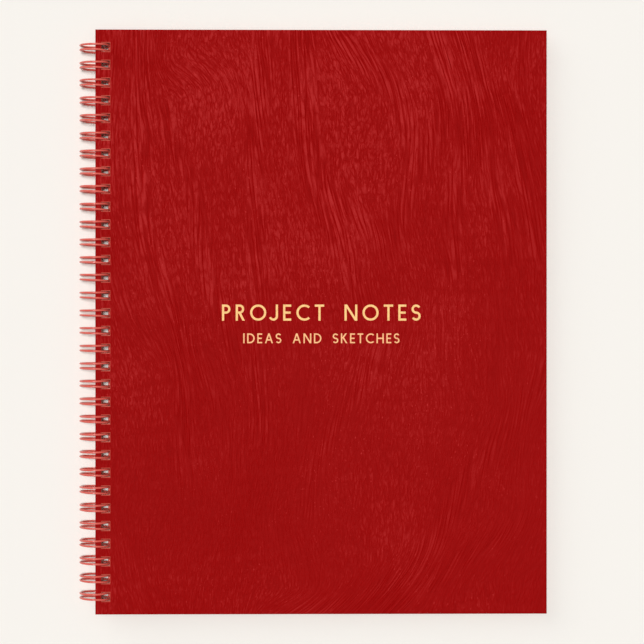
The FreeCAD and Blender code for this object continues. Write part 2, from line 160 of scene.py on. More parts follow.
hide = {
    "gridStep": 1.5,
    "gridMargin": 4,          # how far the grid runs past the cover, mm
    "linePoints": 14,         # points on each stretch of a bundle's line
    "reach": 8.0,             # how far a bundle turns the grain beside it, mm
    "bundleWidth": 5.5,
    "bundlePull": 0.3,
    "plainPull": 0.45,        # pull of the plain head-to-foot grain between bundles
    "sway": (0.35, 40, 55),   # how far that grain wanders, in radians, and over how many mm
    "rounds": 6,
    "spread": (0.8, 1.4),     # how much the spacing of the grain may give way
    "folds": (3.4, 42, 0.07),      # spacing, length and depth of the folds in a bundle, mm
    "wrinkles": (3.1, 9, 0.035),   # and of the wrinkles between bundles
    "hollows": (16, 24, 0.045),
    "flatByLetters": 0.12,
}


# The surface whose slopes come nearest to the slopes given: each cell's slope changes are summed,
# mirrored at the borders, and divided by the grid's own cosine factors.
def surfaceFromSlopes(slopeX, slopeY, step):
    runX = (slopeX[:, 1:] + slopeX[:, :-1]) / 2 * step
    runY = (slopeY[1:] + slopeY[:-1]) / 2 * step
    push = np.diff(np.pad(runX, ((0, 0), (1, 1))), axis=1) + np.diff(np.pad(runY, ((1, 1), (0, 0))), axis=0)
    mirrored = np.block([[push, push[:, ::-1]], [push[::-1], push[::-1, ::-1]]])
    rows, cols = mirrored.shape
    factor = (2 * np.cos(2 * np.pi * np.fft.fftfreq(rows))[:, None]
              + 2 * np.cos(2 * np.pi * np.fft.fftfreq(cols))[None] - 4)
    factor[0, 0] = 1
    return np.fft.ifft2(np.fft.fft2(mirrored) / factor).real[:push.shape[0], :push.shape[1]]


# Each place takes the direction of the creases near it, weighted by a bell curve of distance.
# across and along are then two measures, in mm, square to that direction and following it.
def combHide(flip, seed):
    step, margin = hide["gridStep"], hide["gridMargin"]
    gridX, gridY = np.meshgrid(np.arange(-margin, leaf["coverWidth"] + margin + step, step),
                               np.arange(-margin, leaf["coverHeight"] + margin + step, step))
    most, acrossMm, alongMm = hide["sway"]
    sway = most * slopeNoise(gridX / acrossMm, gridY / alongMm, seed)
    squareX, squareY = hide["plainPull"] * np.cos(sway), hide["plainPull"] * np.sin(sway)
    bundle = np.zeros_like(gridX)
    for strength, corners in creaseBundles:
        x, y = roundedLine(np.array(corners, float), hide["linePoints"])
        if flip:
            x = leaf["coverWidth"] - x
        goX, goY = np.gradient(x), np.gradient(y)
        size = np.hypot(goX, goY)
        away = (gridX[..., None] - x) ** 2 + (gridY[..., None] - y) ** 2
        pull = strength * np.exp(-away / hide["reach"] ** 2) * size * hide["bundlePull"]
        squareX += (pull * -goY / size).sum(axis=-1)
        squareY += (pull * goX / size).sum(axis=-1)
        near = strength * np.exp(-away.min(axis=-1) / hide["bundleWidth"] ** 2)
        bundle = np.maximum(bundle, near)
    size = np.hypot(squareX, squareY)
    squareX, squareY = squareX / size, squareY / size
    across = surfaceFromSlopes(squareX, squareY, step)
    for _ in range(hide["rounds"]):       # let the spacing give way, so the direction fits
        slopeY, slopeX = np.gradient(across, step)
        spread = np.clip(slopeX * squareX + slopeY * squareY, *hide["spread"])
        across = surfaceFromSlopes(squareX * spread, squareY * spread, step)
    along = surfaceFromSlopes(squareY, -squareX, step)
    return {"across": across, "along": along, "bundle": bundle}


# A smooth line through the corners: each stretch is a cubic that leaves along the next chord.
def roundedLine(corners, steps):
    padded = np.concatenate([2 * corners[:1] - corners[1:2], corners, 2 * corners[-1:] - corners[-2:-1]])
    before, start, end, after = padded[:-3], padded[1:-2], padded[2:-1], padded[3:]
    t = np.linspace(0, 1, steps, endpoint=False)[None, :, None]
    a, b, c, d = (part[:, None] for part in (before, start, end, after))
    square, cube = 2 * a - 5 * b + 4 * c - d, 3 * b - a - 3 * c + d
    points = 0.5 * (2 * b + (c - a) * t + square * t ** 2 + cube * t ** 3)
    return points.reshape(-1, 2).T


# A measure of the combed grid at any place: the four grid values round it, by their nearness.
def combedAt(field, x, y):
    step, margin = hide["gridStep"], hide["gridMargin"]
    col = np.clip((x - leaf["spineEdge"] + margin) / step, 0, field.shape[1] - 1.001)
    row = np.clip((y + leaf["coverHeight"] / 2 + margin) / step, 0, field.shape[0] - 1.001)
    c, r = col.astype(int), row.astype(int)
    u, v = col - c, row - r
    low = field[r, c] * (1 - u) + field[r, c + 1] * u
    high = field[r + 1, c] * (1 - u) + field[r + 1, c + 1] * u
    return low * (1 - v) + high * v


boldness = {
    "foot": 0.68,
    "head": (0.34, 0.25, 0.95),      # gain, and where it starts and ends as a share of the height
    "foreEdge": (0.16, 0.7, 1.0),    # loss, and the same as a share of the width
    "patches": (0.16, 45, 60),       # the most they change it, and their size in mm
    "limits": (0.3, 1.2),
}


# How boldly the grain shows: most at the head, least at the foot and towards the fore-edge.
# The leather's colour also takes it as a painted highlight, lighter where the grain is bold.
def hideBoldness(x, y, seed):
    across = (x - leaf["spineEdge"]) / leaf["coverWidth"]
    up = y / leaf["coverHeight"] + 0.5
    gain, gainStart, gainEnd = boldness["head"]
    loss, lossStart, lossEnd = boldness["foreEdge"]
    base = boldness["foot"] + gain * fade(up, gainStart, gainEnd) - loss * fade(across, lossStart, lossEnd)
    most, acrossMm, alongMm = boldness["patches"]
    patches = most * slopeNoise(x / acrossMm, y / alongMm, seed + 20)
    return np.clip(base + patches, *boldness["limits"])


# The height of the hide over its flat face, never above it: ridged noise on the combed measures.
def hideHeight(x, y, comb, bold, seed):
    across, along = combedAt(comb["across"], x, y), combedAt(comb["along"], x, y)
    bundle = combedAt(comb["bundle"], x, y)
    height = np.zeros_like(x)
    for key, share, number in (("folds", bundle, 30), ("wrinkles", 1 - 0.7 * bundle, 31)):
        spacing, length, depth = hide[key]
        n = slopeNoise(across / spacing, along / length, seed + number)
        height -= share * depth * (1 - np.abs(n)) ** 3
    width, length, depth = hide["hollows"]
    height -= depth * (0.5 + 0.5 * slopeNoise(across / width, along / length, seed + 40))
    return np.minimum(height * bold, 0)


# What the leather's material follows: the two combed measures, the bundles and the boldness.
# Depth down a wrapped edge counts as a way across, so the grain runs on round it.
def hideAttributes(x, y, depth, comb, seed):
    across = combedAt(comb["across"], x, y) + depth
    along = combedAt(comb["along"], x, y)
    return {
        "combed": np.stack([across, along, np.zeros_like(x)], axis=1),
        "bundle": combedAt(comb["bundle"], x, y),
        "boldness": hideBoldness(x, y, seed),
    }


# ---- the leather's outer face, wrapped edges and punched holes
coverSkin = {
    "outerFace": 5.2,        # heights from the loop axis, mm
    "skinBack": 4.8,
    "sideEnd": 3.92,         # where the wrapped edge ends, at the turn-ins
    "edgeRadius": 0.6,
    "rimRadius": 0.20,       # round the holes
    "columnStep": 0.84,
    "columnsAtSpine": 3,     # between the spine edge and the holes
    "columnsAcrossHole": 5,
    "rowsAcrossHole": 5,
    "rowsBetweenHoles": 5,
    "rowsAtEnds": 7,
    "roundSteps": 5,
    "rimSteps": 3,
    "levelAtEdge": 3.0,      # the relief dies out over these widths, mm
    "levelAtHole": 1.2,
    "levelAtLetters": (1.0, 9.0),
}


# Places at even steps from start, with the end itself left off.
def evenLines(start, end, count):
    return np.linspace(start, end, count + 1)[:-1]


# A fine grid over the face, a ring of points for each step round its outer edge and its holes,
# and a plain back: together one closed skin. side is 1 for the front cover, -1 for the back.
def wrapSkin(name, side, lean, comb, seed, letterBoxes):
    s = coverSkin
    west, east = leaf["spineEdge"], leaf["spineEdge"] + leaf["coverWidth"]
    north = leaf["coverHeight"] / 2
    flatWest, flatEast, flatNorth = west + s["edgeRadius"], east - s["edgeRadius"], north - s["edgeRadius"]
    halfW = leaf["holeWidth"] / 2 + s["rimRadius"]
    halfH = leaf["holeHeight"] / 2 + s["rimRadius"]
    holeX0, holeX1 = leaf["holeMiddleX"] - halfW, leaf["holeMiddleX"] + halfW

    columns = math.ceil((flatEast - holeX1) / s["columnStep"])
    holeCol0 = s["columnsAtSpine"]
    holeCol1 = holeCol0 + s["columnsAcrossHole"]
    xLines = np.concatenate([evenLines(flatWest, holeX0, holeCol0),
                             evenLines(holeX0, holeX1, s["columnsAcrossHole"]),
                             evenLines(holeX1, flatEast, columns), [flatEast]])
    yParts = [evenLines(-flatNorth, holeMiddleY[0] - halfH, s["rowsAtEnds"])]
    for number, middle in enumerate(holeMiddleY):
        yParts.append(evenLines(middle - halfH, middle + halfH, s["rowsAcrossHole"]))
        if number < len(holeMiddleY) - 1:
            nextEdge = holeMiddleY[number + 1] - halfH
            yParts.append(evenLines(middle + halfH, nextEdge, s["rowsBetweenHoles"]))
    yParts += [evenLines(holeMiddleY[-1] + halfH, flatNorth, s["rowsAtEnds"]), [flatNorth]]
    yLines = np.concatenate(yParts)
    rows, cols = len(yLines), len(xLines)

    gridX, gridY = np.meshgrid(xLines, yLines)
    height = hideHeight(gridX, gridY, comb, hideBoldness(gridX, gridY, seed), seed)
    edgeGap = np.minimum.reduce([gridX - flatWest, flatEast - gridX, flatNorth - np.abs(gridY)])
    nearestHole = np.abs(gridY[..., None] - holeMiddleY).min(axis=-1)
    holeGap = np.maximum(np.abs(gridX - leaf["holeMiddleX"]) - halfW, nearestHole - halfH)
    height *= fade(edgeGap, 0.0, s["levelAtEdge"]) * fade(holeGap, 0.0, s["levelAtHole"])
    for (x0, y0), (x1, y1) in letterBoxes:
        away = np.maximum.reduce([x0 - gridX, gridX - x1, y0 - gridY, gridY - y1])
        height *= hide["flatByLetters"] + (1 - hide["flatByLetters"]) * fade(away, *s["levelAtLetters"])
    gridPoints = np.stack([gridX, gridY, s["outerFace"] + height], axis=-1).reshape(-1, 3)

    index = np.arange(rows * cols).reshape(rows, cols)
    holeRow0 = s["rowsAtEnds"] + np.arange(len(holeMiddleY)) * (s["rowsAcrossHole"] + s["rowsBetweenHoles"])
    present = np.ones((rows - 1, cols - 1), bool)
    for row0 in holeRow0:
        present[row0:row0 + s["rowsAcrossHole"], holeCol0:holeCol1] = False
    quads = np.stack([index[:-1, :-1], index[:-1, 1:], index[1:, 1:], index[1:, :-1]], axis=-1)[present]
    faces = quads.tolist()

    # the points round a block of the grid, once each
    def loopOf(block):
        return np.concatenate([block[0, :-1], block[:-1, -1], block[-1, :0:-1], block[:0:-1, 0]])

    points = [gridPoints]
    total = len(gridPoints)

    # Joins a closed ring of points to the next, which lies at half width and half height (inX, inY)
    # about its middle, and so on down the steps.
    def carryRing(ring, middle, half, steps):
        nonlocal total
        base = gridPoints[ring]
        first = np.array(ring)
        for inX, inY, z in steps:
            ringPoints = base.copy()
            ringPoints[:, 0] = middle[0] + (base[:, 0] - middle[0]) * inX / half[0]
            ringPoints[:, 1] = middle[1] + (base[:, 1] - middle[1]) * inY / half[1]
            ringPoints[:, 2] = z
            second = np.arange(total, total + len(ring))
            total += len(ring)
            points.append(ringPoints)
            nextFirst, nextSecond = np.roll(first, -1), np.roll(second, -1)
            faces.extend(np.stack([first, second, nextSecond, nextFirst], axis=1).tolist())
            first = second
        return first

    halfX, halfY = (flatEast - flatWest) / 2, flatNorth
    outX, outY = halfX + s["edgeRadius"], halfY + s["edgeRadius"]
    turns = np.linspace(0, np.pi / 2, s["roundSteps"] + 1)[1:]
    edgeSteps = [(halfX + s["edgeRadius"] * math.sin(t), halfY + s["edgeRadius"] * math.sin(t),
                  s["outerFace"] - s["edgeRadius"] * (1 - math.cos(t))) for t in turns]
    wall = s["outerFace"] - s["skinBack"]
    edgeSteps += [(outX, outY, s["sideEnd"]), (outX - wall, outY - wall, s["sideEnd"]),
                  (outX - wall, outY - wall, s["skinBack"])]
    backId = np.full((rows, cols), -1)
    outerLoop = loopOf(index)
    middle = ((flatWest + flatEast) / 2, 0)
    backId.ravel()[outerLoop] = carryRing(outerLoop, middle, (halfX, halfY), edgeSteps)
    rimTurns = np.linspace(0, np.pi / 2, s["rimSteps"] + 1)[1:]
    rimSteps = [(halfW - s["rimRadius"] * math.sin(t), halfH - s["rimRadius"] * math.sin(t),
                 s["outerFace"] - s["rimRadius"] * (1 - math.cos(t))) for t in rimTurns]
    rimSteps.append((halfW - s["rimRadius"], halfH - s["rimRadius"], s["skinBack"]))
    for row0, middleY in zip(holeRow0, holeMiddleY):
        holeLoop = loopOf(index[row0:row0 + s["rowsAcrossHole"] + 1, holeCol0:holeCol1 + 1])
        holeMiddle = (leaf["holeMiddleX"], middleY)
        backId.ravel()[holeLoop] = carryRing(holeLoop, holeMiddle, (halfW, halfH), rimSteps)

    # The back is in blocks between the holes' lines; a block's sides keep the rings' points.
    holeRows = np.stack([holeRow0, holeRow0 + s["rowsAcrossHole"]], axis=1).ravel()
    rowLines = np.concatenate([[0], holeRows, [rows - 1]])
    for low, high in zip(rowLines[:-1], rowLines[1:]):
        for left, right in ((0, holeCol0), (holeCol0, holeCol1), (holeCol1, cols - 1)):
            if present[low, left]:
                around = backId.ravel()[loopOf(index[low:high + 1, left:right + 1])]
                faces.append(around[around >= 0][::-1].tolist())

    allPoints = np.concatenate(points)
    depth = s["outerFace"] - allPoints[:, 2]
    attributes = hideAttributes(allPoints[:, 0], allPoints[:, 1], depth, comb, seed)
    allPoints[:, 2] *= side
    item = meshObject(name, leafToRow(allPoints, lean), faces, None, attributes)
    turnOutward(item)
    item.data.shade_smooth()
    item.data.set_sharp_from_angle(angle=math.radians(50))
    return item


# ---- flat punched sheets: quads on the cells present, top and bottom, and a wall where a cell ends
def punchedSheet(xLines, yLines, present, topZ, bottomZ):
    rows, cols = len(yLines), len(xLines)
    gridX, gridY = np.meshgrid(xLines, yLines)
    top = np.stack([gridX, gridY, np.broadcast_to(topZ, gridX.shape)], axis=-1).reshape(-1, 3)
    bottom = np.stack([gridX, gridY, np.broadcast_to(bottomZ, gridX.shape)], axis=-1).reshape(-1, 3)
    up = np.arange(rows * cols).reshape(rows, cols)
    down = up + rows * cols
    upQuads = np.stack([up[:-1, :-1], up[:-1, 1:], up[1:, 1:], up[1:, :-1]], axis=-1)[present]
    downQuads = np.stack([down[:-1, :-1], down[1:, :-1], down[1:, 1:], down[:-1, 1:]], axis=-1)[present]
    padded = np.pad(present, 1).astype(int)
    stepX = np.diff(padded, axis=1)[1:-1]       # 1 where cells start, -1 where they end
    stepY = np.diff(padded, axis=0)[:, 1:-1]
    walls = []
    for sign in (1, -1):
        row, col = np.nonzero(stepX == sign)
        wall = [up[row, col], up[row + 1, col], down[row + 1, col], down[row, col]]
        walls.append(np.stack(wall, axis=1)[:, ::sign])
        row, col = np.nonzero(stepY == sign)
        wall = [up[row, col + 1], up[row, col], down[row, col], down[row, col + 1]]
        walls.append(np.stack(wall, axis=1)[:, ::sign])
    faces = np.concatenate([upQuads, downQuads] + walls)
    used, faces = np.unique(faces, return_inverse=True)
    return np.concatenate([top, bottom])[used], faces.reshape(-1, 4)


# The lines along the holes' sides, from foot to head and from spine to fore-edge.
def holeLinesY():
    half = leaf["holeHeight"] / 2
    return np.stack([holeMiddleY - half, holeMiddleY + half], axis=1).ravel()


def holeLinesX():
    half = leaf["holeWidth"] / 2
    return [leaf["holeMiddleX"] - half, leaf["holeMiddleX"] + half]


turnIn = {
    "width": 14.0,
    "face": 3.52,            # heights from the loop axis, mm
    "back": 3.92,
    "radius": 0.3,
    "insets": (0, 0.04, 0.1, 0.18, 0.3),     # lines across the rounded edge, mm in from it
    "fieldColumns": 8,
}


# The four turned-in flaps as one frame round the inside of a cover, its outer edge rounded.
def turnInFrame(name, side, lean, comb, seed):
    t = turnIn
    west, east = leaf["spineEdge"], leaf["spineEdge"] + leaf["coverWidth"]
    north = leaf["coverHeight"] / 2
    insets = np.array(t["insets"])
    xLines = np.concatenate([west + insets, holeLinesX(), [west + t["width"]],
                             np.linspace(west + t["width"], east - t["width"], t["fieldColumns"])[1:],
                             (east - insets)[::-1]])
    innerNorth = north - t["width"]
    yLines = np.unique(np.round(np.concatenate([
        -north + insets, [-innerNorth, innerNorth], holeLinesY(), north - insets]), 5))
    midX, midY = (xLines[:-1] + xLines[1:]) / 2, (yLines[:-1] + yLines[1:]) / 2
    cellX, cellY = np.meshgrid(midX, midY)
    inHoleY = (np.abs(cellY[..., None] - holeMiddleY) < leaf["holeHeight"] / 2).any(axis=-1)
    inHole = inHoleY & (np.abs(cellX - leaf["holeMiddleX"]) < leaf["holeWidth"] / 2)
    inField = (cellX > west + t["width"]) & (cellX < east - t["width"]) & (np.abs(cellY) < innerNorth)
    gridX, gridY = np.meshgrid(xLines, yLines)
    inset = np.minimum.reduce([gridX - west, east - gridX, north - np.abs(gridY)])
    dip = np.clip(t["radius"] - inset, 0, None)
    lower = t["face"] + t["radius"] - np.sqrt(t["radius"] ** 2 - dip ** 2)
    points, faces = punchedSheet(xLines, yLines, ~(inHole | inField), t["back"], lower)
    attributes = hideAttributes(points[:, 0], points[:, 1], 0, comb, seed)
    points[:, 2] *= side
    faces = faces if side > 0 else faces[:, ::-1]
    return meshObject(name, leafToRow(points, lean), faces.tolist(), 50, attributes)


# ---- writing sheets
paper = {
    "count": 60,
    "perNode": 5,
    "thickness": 0.090,
    "pitch": 0.093,
    "top": 3.35,            # height of the first sheet's face over the loop axis
    "setBack": 2.5,
    "trimError": 0.11,      # how unevenly the edges were cut, mm
    "punchError": 0.03,
    "innerLines": (60, 4),  # where the plain field starts, and how many lines cross it
}


# Five sheets as closed slabs, each trimmed and punched a hair differently.
def sheetStack(name, first):
    p = paper
    rng = np.random.default_rng(900 + first)
    pointParts, faceParts, tones = [], [], []
    total = 0
    for number in range(first, first + p["perNode"]):
        trim = rng.uniform(-p["trimError"], p["trimError"], 4)
        shift = rng.uniform(-p["punchError"], p["punchError"], 2)
        west = leaf["spineEdge"] + abs(trim[0])
        east = leaf["spineEdge"] + leaf["coverWidth"] - p["setBack"] + min(trim[1], 0)
        north = leaf["coverHeight"] / 2 - p["setBack"]
        fieldStart, fieldLines = p["innerLines"]
        xLines = np.concatenate([[west], np.array(holeLinesX()) + shift[0],
                                 np.linspace(fieldStart, east, fieldLines)])
        yLines = np.concatenate([[-north + abs(trim[2])], holeLinesY() + shift[1],
                                 [north - abs(trim[3])]])
        present = np.ones((len(yLines) - 1, len(xLines) - 1), bool)
        present[1::2, 1] = False
        topZ = p["top"] - (number - 1) * p["pitch"]
        points, faces = punchedSheet(xLines, yLines, present, topZ, topZ - p["thickness"])
        pointParts.append(points)
        faceParts.append(faces + total)
        tones.append(np.full(len(points), rng.uniform(0, 1)))
        total += len(points)
    points = leafToRow(np.concatenate(pointParts), leaf["sheetLean"])
    faces = np.concatenate(faceParts).tolist()
    return meshObject(name, points, faces, None, {"tone": np.concatenate(tones)})


# ---- wire
binding = {
    "loopRadius": 6.9,
    "wireRadius": 0.5,
    "legSpacing": 2.5,
    "pinch": 0.34,            # how much nearer the two legs come at the spine
    "spread": 0.42,           # and how much further apart they stand in the holes
    "headLean": 0.25,         # how far the loops lean to the head at the spine
    "elbow": 0.9,
    "seamTurn": -31.6,        # degrees, where a leg turns into its elbow
    "tipTurn": -361.4,        # where a leg turns into the closed tip
    "arcPoints": 50,
    "bendPoints": 7,
    "tipPoints": 11,
    "sides": 14,
    "unevenness": 0.06,
    "pinchAt": (-180, 62),    # degrees: where it is strongest, and how far round it reaches
    "spreadAt": (-325, 28),
    "leanAt": (-180, 80),
    "endCap": (0.7, 0.12),    # a cut end: its radius as a share of the wire's, and its depth in mm
}


# A bell curve of the turn round the loop, 1 at its middle.
def nearTurn(turn, place):
    middle, reach = place
    return np.exp(-(((turn - middle) / reach) ** 2))


# The wire's middle line lies on a cylinder: each point is an angle round it and a place along Y.
# Every loop is an elbow, a leg, a half-circle tip, a leg and an elbow; bars join the loops.
def wireLine():
    b = binding
    rng = np.random.default_rng(5)
    degPerMm = math.degrees(1 / b["loopRadius"])
    half = b["legSpacing"] / 2
    bend = np.linspace(0, np.pi / 2, b["bendPoints"])
    legTurn = np.linspace(b["seamTurn"], b["tipTurn"], b["arcPoints"])
    legY = half - b["pinch"] / 2 * nearTurn(legTurn, b["pinchAt"])
    legY = legY + b["spread"] / 2 * nearTurn(legTurn, b["spreadAt"])
    tip = np.linspace(0, np.pi, b["tipPoints"] + 2)[1:-1]
    elbowTurn = b["seamTurn"] + b["elbow"] * np.cos(bend) * degPerMm
    elbowY = half + b["elbow"] * (1 - np.sin(bend))
    turn = np.concatenate([elbowTurn[:-1], legTurn, b["tipTurn"] - half * np.sin(tip) * degPerMm,
                           legTurn[::-1], elbowTurn[::-1][1:]])
    along = np.concatenate([elbowY[:-1], legY, half * np.cos(tip), -legY[::-1], -elbowY[::-1][1:]])
    lean = b["headLean"] + rng.normal(0, b["unevenness"], (leaf["holeCount"], 1))
    middleY = holeMiddleY[::-1][:, None]
    y = middleY + along[None, :] + lean * nearTurn(turn, b["leanAt"])[None, :]
    turn = np.broadcast_to(np.radians(turn), y.shape).copy()
    y, turn = y.ravel(), turn.ravel()
    cut = b["bendPoints"] - 1     # the comb's two ends have no elbow
    y, turn = y[cut:-cut], turn[cut:-cut]
    return np.stack([b["loopRadius"] * np.cos(turn), y, b["loopRadius"] * np.sin(turn)], axis=1)


# A round section carried along the line: its frame is the outward direction from the loop axis
# and the direction square to that and to the line. A smaller ring a little further closes each end.
def makeWire():
    b = binding
    line = wireLine()
    along = np.gradient(line, axis=0)
    along /= np.linalg.norm(along, axis=1, keepdims=True)
    outward = line * [1, 0, 1]
    outward /= np.linalg.norm(outward, axis=1, keepdims=True)
    across = np.cross(along, outward)
    across /= np.linalg.norm(across, axis=1, keepdims=True)
    outward = np.cross(across, along)
    angles = np.linspace(0, 2 * np.pi, b["sides"], endpoint=False)
    ring = outward[:, None] * np.cos(angles)[None, :, None] + across[:, None] * np.sin(angles)[None, :, None]
    points = line[:, None] + ring * b["wireRadius"]
    count, sides = len(line), b["sides"]
    capShare, capDepth = b["endCap"]
    endCaps = [line[place] + ring[place] * b["wireRadius"] * capShare + along[place] * depth
               for place, depth in ((0, -capDepth), (count - 1, capDepth))]
    points = np.concatenate([endCaps[0][None], points, endCaps[1][None]])
    index = np.arange((count + 2) * sides).reshape(count + 2, sides)
    nextSide = np.roll(index, -1, axis=1)
    quads = np.stack([index[:-1], nextSide[:-1], nextSide[1:], index[1:]], axis=-1).reshape(-1, 4)
    faces = quads.tolist() + [index[0][::-1].tolist(), index[-1].tolist()]
    row = points.reshape(-1, 3) * 0.001 + axisPoint
    item = meshObject("wireComb", row, faces, None)
    turnOutward(item)
    item.data.shade_smooth()
    item.data.set_sharp_from_angle(angle=math.radians(60))
    return item


# ---- materials
def newMaterial(name):
    material = bpy.data.materials.new(name)
    material.use_nodes = True
    tree = material.node_tree
    tree.nodes.clear()
    surface = tree.nodes.new("ShaderNodeBsdfPrincipled")
    output = tree.nodes.new("ShaderNodeOutputMaterial")
    tree.links.new(surface.outputs["BSDF"], output.inputs["Surface"])
    return material, tree, surface


# Joins a socket to another node's, or sets it to a plain value.
def setInput(tree, socket, value):
    if isinstance(value, bpy.types.NodeSocket):
        tree.links.new(value, socket)
    elif value is not None:
        socket.default_value = value


# Sets or joins each named input of a surface.
def dress(tree, surface, inputs):
    for name, value in inputs.items():
        setInput(tree, surface.inputs[name], value)


def math2(tree, operation, a, b=None, c=None, clamp=False):
    node = tree.nodes.new("ShaderNodeMath")
    node.operation = operation
    node.use_clamp = clamp
    for socket, value in zip(node.inputs, (a, b, c)):
        setInput(tree, socket, value)
    return node.outputs[0]


def plus(tree, a, b, clamp=False):
    return math2(tree, "ADD", a, b, clamp=clamp)


def minus(tree, a, b):
    return math2(tree, "SUBTRACT", a, b)


def times(tree, a, b):
    return math2(tree, "MULTIPLY", a, b)


# How far a value is from a middle, always positive.
def awayFrom(tree, value, middle):
    return math2(tree, "ABSOLUTE", minus(tree, value, middle))


# Swings a value of 0 to 1 by the amount, evenly up and down.
def swing(tree, value, amount):
    return times(tree, minus(tree, value, 0.5), amount)


def vectorMath(tree, operation, a, b):
    node = tree.nodes.new("ShaderNodeVectorMath")
    node.operation = operation
    setInput(tree, node.inputs[0], a)
    setInput(tree, node.inputs[1], b)
    return node.outputs[0]


def noise(tree, vector, scale, detail=2.0, roughness=0.5):
    node = tree.nodes.new("ShaderNodeTexNoise")
    setInput(tree, node.inputs["Vector"], vector)
    node.inputs["Scale"].default_value = scale
    node.inputs["Detail"].default_value = detail
    node.inputs["Roughness"].default_value = roughness
    return node.outputs["Fac"]


def attribute(tree, name, output):
    node = tree.nodes.new("ShaderNodeAttribute")
    node.attribute_name = name
    return node.outputs[output]


def objectPlace(tree):
    return tree.nodes.new("ShaderNodeTexCoord").outputs["Object"]


def placeInMm(tree):
    return vectorMath(tree, "MULTIPLY", objectPlace(tree), (1000, 1000, 1000))


def axisParts(tree, vector):
    node = tree.nodes.new("ShaderNodeSeparateXYZ")
    tree.links.new(vector, node.inputs[0])
    return node.outputs


def ramp(tree, factor, stops):
    node = tree.nodes.new("ShaderNodeValToRGB")
    setInput(tree, node.inputs["Fac"], factor)
    elements = node.color_ramp.elements
    while len(elements) < len(stops):
        elements.new(0.5)
    for element, (place, colour) in zip(elements, stops):
        element.position = place
        element.color = (*colour, 1)
    return node.outputs["Color"]


def mixColours(tree, factor, a, b):
    node = tree.nodes.new("ShaderNodeMix")
    node.data_type = "RGBA"
    setInput(tree, node.inputs["Factor"], factor)
    setInput(tree, node.inputs[6], a if isinstance(a, bpy.types.NodeSocket) else (*a, 1))
    setInput(tree, node.inputs[7], b if isinstance(b, bpy.types.NodeSocket) else (*b, 1))
    return node.outputs[2]


# Carries low to high over to outLow to outHigh in a straight line, held at both ends.
def remap(tree, value, low, high, outLow=0.0, outHigh=1.0):
    node = tree.nodes.new("ShaderNodeMapRange")
    setInput(tree, node.inputs["Value"], value)
    node.inputs["From Min"].default_value = low
    node.inputs["From Max"].default_value = high
    node.inputs["To Min"].default_value = outLow
    node.inputs["To Max"].default_value = outHigh
    return node.outputs["Result"]


def bump(tree, height, distance, strength=1.0, below=None):
    node = tree.nodes.new("ShaderNodeBump")
    node.inputs["Strength"].default_value = strength
    node.inputs["Distance"].default_value = distance
    tree.links.new(height, node.inputs["Height"])
    if below is not None:
        tree.links.new(below, node.inputs["Normal"])
    return node.outputs["Normal"]


# How far, in mm, a point of the object lies outside the nearest square hole, or outside the
# hole less a strip of spineStrip at its spine side. Past the last hole it grows steeply.
def holeDistance(tree, spineStrip=0.0):
    x, y, z = axisParts(tree, placeInMm(tree))
    pitch, steep = leaf["holePitch"], 10.0
    wrapped = math2(tree, "WRAP", y, pitch, 0.0)           # a hole's middle falls at half a pitch
    gapY = minus(tree, awayFrom(tree, wrapped, pitch / 2), leaf["holeHeight"] / 2)
    middle = leaf["holeMiddleX"] + spineStrip / 2 + axisPoint[0] * 1000
    gapX = minus(tree, awayFrom(tree, x, middle), (leaf["holeWidth"] - spineStrip) / 2)
    pastEnd = minus(tree, math2(tree, "ABSOLUTE", y), leaf["holeCount"] * pitch / 2)
    return math2(tree, "MAXIMUM", math2(tree, "MAXIMUM", gapX, gapY), times(tree, pastEnd, steep))


leatherLook = {
    "creaseShadeToHighlight": ((0.05, (0.270, 0.0005, 0.0006)),     # tone, then colour: creases in painted shade, plain, tops in a painted highlight
                (0.42, (0.310, 0.0009, 0.0011)),
                (0.95, (0.462, 0.0180, 0.0185))),
    "roughness": (0.58, 0.42),     # in the creases and on the tops
    "specular": 0.035,
    "grain": (1.35, 6.2),          # spacing and length of the grain between bundles, mm
    "plain": (1.25, 4.6),          # and of the grain that runs head to foot everywhere
    "wrinkles": (1.60, 12.0),
    "creases": (1.75, 44.0),       # and of the creases in a bundle
    "hair": (0.40, 1.2),
    "glints": (0.62, 1.5),
    "valley": (0.12, 0.75),        # how wide a valley is, and how blunt
    "combedShare": 0.4,            # of the grain; the rest is crossed by the plain grain
    "mainShare": 0.62,             # of creases or grain in the ridges; wrinkles are the rest
    "ridgeShare": 0.75,            # of ridges in the relief; hair is the rest
    "level": (0.575, 0.645),       # the relief's middle, between bundles and in them
    "bundleBold": (0.8, 0.3),      # boldness between bundles, and what a bundle adds
    "reliefShadeAndHighlight": 1.02,            # how far each moves the tone; relief, boldness and glints paint in shade and highlight, pores and broad are random tone
    "boldHighlight": (0.31, 0.52),
    "poreTone": 0.25,
    "broadTone": 0.35,
    "glintTone": 0.75,
    "reliefDepth": 0.00030,        # m
    "poreDepth": 0.00005,
    "cutEdge": (0.74, 0.150, 0.110),
    "cutWidth": (0.36, 0.16),      # the rubbed rim round a hole fades between these, mm out
    "cutCover": 0.85,
    "cutDull": 0.2,
    "spineStrip": 0.3,             # no rim shows at the holes' spine side
}
